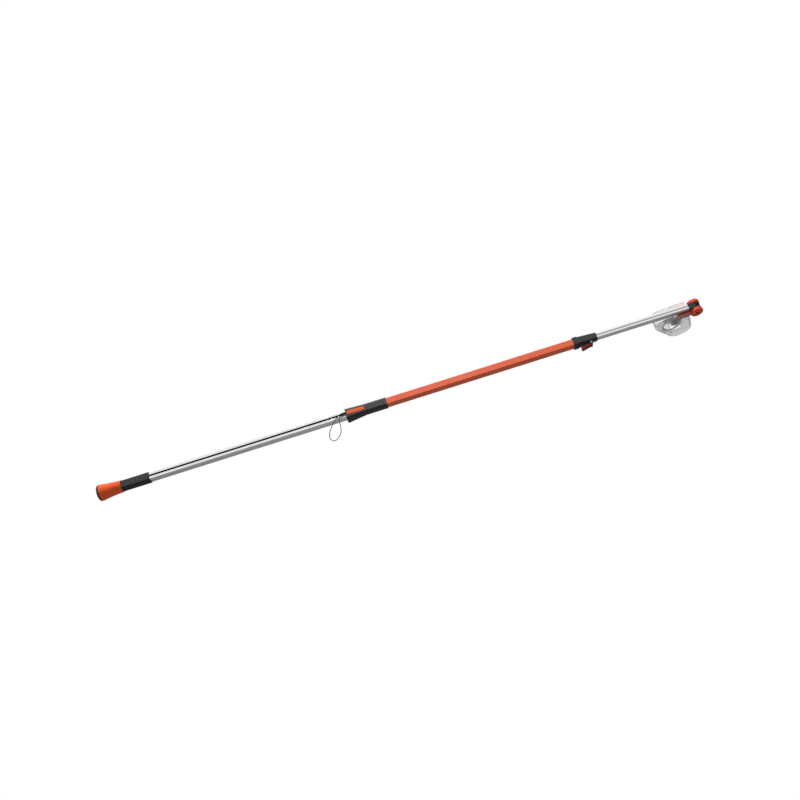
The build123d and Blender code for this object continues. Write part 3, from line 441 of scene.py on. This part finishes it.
def make_groove_shaded(finish):
    """Copy of a finish with painted shade along the front groove of the upper tube."""
    material = finish.copy()
    material.name = "groove_shaded_" + finish.name
    tree = material.node_tree
    link = tree.links.new
    shader = tree.nodes["Principled BSDF"]
    colour = shader.inputs["Base Color"].links[0].from_socket
    place = add_node(tree, "ShaderNodeTexCoord")
    axes = add_node(tree, "ShaderNodeSeparateXYZ")
    off = add_node(tree, "ShaderNodeMath", operation="ABSOLUTE")
    beside = add_node(tree, "ShaderNodeMath", operation="LESS_THAN")
    beside.inputs[1].default_value = groove_half
    ahead = add_node(tree, "ShaderNodeMath", operation="LESS_THAN")
    ahead.inputs[1].default_value = groove_front
    within = add_node(tree, "ShaderNodeMath", operation="MULTIPLY")
    level = add_node(tree, "ShaderNodeMapRange")
    level.inputs["To Min"].default_value = 1.0
    level.inputs["To Max"].default_value = groove_shade_level
    shaded_groove = add_node(tree, "ShaderNodeVectorMath", operation="SCALE")
    link(place.outputs["Object"], axes.inputs[0])
    link(axes.outputs["Z"], off.inputs[0])
    link(off.outputs[0], beside.inputs[0])
    link(axes.outputs["Y"], ahead.inputs[0])
    link(beside.outputs[0], within.inputs[0])
    link(ahead.outputs[0], within.inputs[1])
    link(within.outputs[0], level.inputs["Value"])
    # Painted shade: the base colour is darkened inside the groove's strip
    link(colour, shaded_groove.inputs[0])
    link(level.outputs["Result"], shaded_groove.inputs["Scale"])
    link(shaded_groove.outputs[0], shader.inputs["Base Color"])
    return material


def make_finishes(surface):
    """One material for each slot of the record, and those of the pieces with a finish of their own."""
    finishes = {name: make_finish(name, surface, **look) for name, look in finish_looks.items()}
    finishes["groove_shaded_tube"] = make_groove_shaded(finishes["silver_tube"])
    return finishes


def dress_solids(finishes):
    """Give each solid its own finish, or else that of its slot."""
    for piece in frame["record"]["subparts"]:
        name = own_finish.get(piece["node"], piece["material_slot"])
        for socket in nodes[piece["node"]].material_slots:
            socket.material = finishes[name]


def smooth_line(route, steps):
    """Points of the smooth open line along a route."""
    curve = bpy.data.curves.new("route", "CURVE")
    curve.dimensions = "3D"
    curve.resolution_u = steps
    spline = curve.splines.new("NURBS")
    spline.points.add(len(route) - 1)
    for point, place in zip(spline.points, route):
        point.co = (*place, 1)
    spline.order_u = 3
    spline.use_endpoint_u = True
    line = bpy.data.objects.new("route", curve)
    wire = bpy.data.meshes.new_from_object(line)
    points = [vertex.co.copy() for vertex in wire.vertices]
    bpy.data.objects.remove(line)
    bpy.data.curves.remove(curve)
    bpy.data.meshes.remove(wire)
    return points


def frames_along(points):
    """Each point of a line, with the run to it and two cross directions that don't twist."""
    frames = []
    run = 0.0
    side = None
    for index, point in enumerate(points):
        before = points[max(index - 1, 0)]
        after = points[min(index + 1, len(points) - 1)]
        heading = (after - before).normalized()
        if side is None:
            side = heading.orthogonal()
        side = (side - heading * side.dot(heading)).normalized()
        run += (point - before).length
        frames.append((point, run, side, heading.cross(side)))
    return frames


def make_cord(name, points, diameter, finish):
    """Cord of twisted strands along a line."""
    strand_radius = strand_share * diameter / 2
    strand_offset = diameter / 2 - strand_radius
    lay = lay_in_diameters * diameter
    vertices = []
    faces = []
    frames = frames_along(points)
    turns = [2 * math.pi * side / strand_sides for side in range(strand_sides)]
    for strand in range(strand_count):
        first = len(vertices)
        for point, run, across, over in frames:
            angle = 2 * math.pi * (run / lay + strand / strand_count)
            middle = point + (across * math.cos(angle) + over * math.sin(angle)) * strand_offset
            for turn in turns:
                vertices.append(middle + (across * math.cos(turn) + over * math.sin(turn)) * strand_radius)
        for ring in range(len(frames) - 1):
            start = first + ring * strand_sides
            following = start + strand_sides
            for side in range(strand_sides):
                beside = (side + 1) % strand_sides
                faces.append((start + side, start + beside, following + beside, following + side))
        faces.append(tuple(range(first + strand_sides - 1, first - 1, -1)))
        faces.append(tuple(range(len(vertices) - strand_sides, len(vertices))))
    mesh = bpy.data.meshes.new(name)
    mesh.from_pydata(vertices, [], faces)
    mesh.shade_smooth()
    mesh.materials.append(finish)
    cord = bpy.data.objects.new(name, mesh)
    bpy.context.collection.objects.link(cord)
    return cord


def make_pull_loop(finish):
    """Thin cord loop that hangs from the slider's lower end."""
    points = smooth_line(loop_route, loop_steps)
    loop = make_cord("pull_cord", points, loop_diameter, finish)
    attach(loop, "slider")
    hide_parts("pull_loop")


def make_drive_cord(finish):
    """Cord inside the pole, which shows in the sheave's groove."""
    line = make_cord("drive_line", smooth_line(drive_route, drive_steps), drive_diameter, finish)
    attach(line, "upper_pole")
    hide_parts("drive_cord")


bpy.context.scene.view_settings.view_transform = "Standard"
make_camera()
finishes = make_finishes(make_surface_group())
make_pull_loop(finishes["black_cord"])
make_drive_cord(finishes["black_cord"])
dress_solids(finishes)
make_world()
make_floor()
make_softbox("key_softbox", key_place, key_size, key_watts, view_centre)
make_softbox("fill_softbox", fill_place, fill_size, fill_watts, view_centre)
make_softbox("back_softbox", back_place, back_size, back_watts, back_target)
